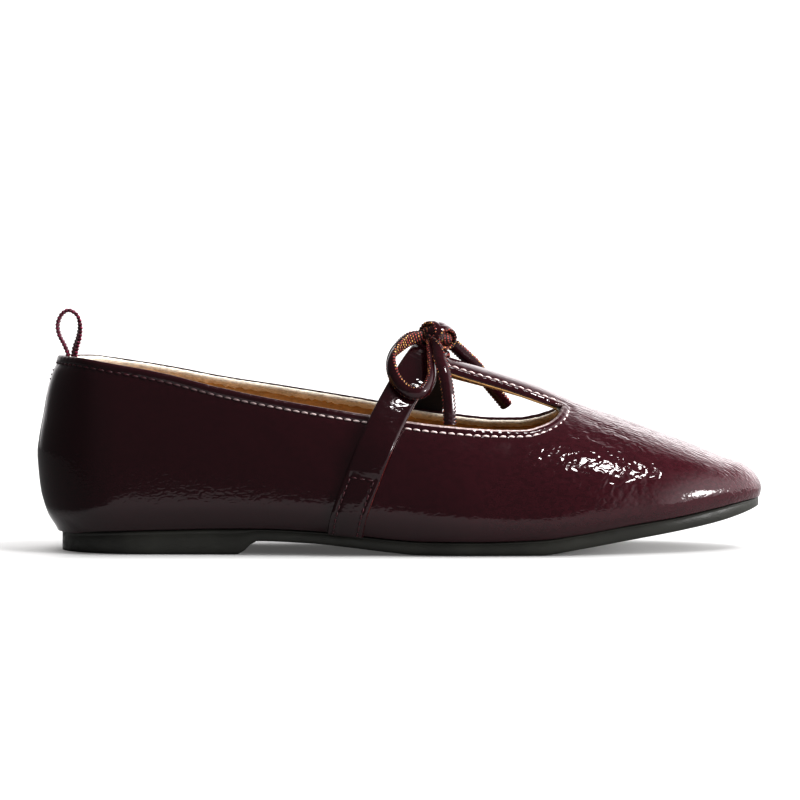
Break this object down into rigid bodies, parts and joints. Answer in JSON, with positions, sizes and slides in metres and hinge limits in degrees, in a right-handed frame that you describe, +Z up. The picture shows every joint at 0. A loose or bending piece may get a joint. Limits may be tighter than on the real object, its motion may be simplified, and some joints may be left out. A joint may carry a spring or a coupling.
{
  "type": "flat shoe",
  "caption": "Right flat shoe in crinkled glossy patent with a T-bar, a cross strap under a small ribbon bow, a heel pull loop and a low moulded sole.",
  "frame": {"origin": "on the floor under the middle of the shoe's outline", "axes": "+X towards the toe, +Y towards the inner (medial) side of the foot, +Z up"},
  "size_m": [0.2552, 0.0842, 0.0847],
  "materials": {
    "patent": "crinkled glossy patent",
    "sole": "satin moulded rubber",
    "sock": "matt tan lining leather",
    "ribbon": "glossy patent strip with a ribbed textile back",
    "tape": "woven twill tape"
  },
  "bodies": {
    "root": {"outsole": "sole", "insole": "sock", "upper": "patent", "strap": "patent", "bow_knot": "ribbon", "bow_loop_lateral": "ribbon", "bow_loop_medial": "ribbon", "bow_tail_lateral": "ribbon", "bow_tail_medial": "ribbon", "pull_loop": "tape"}
  },
  "joints": []
}
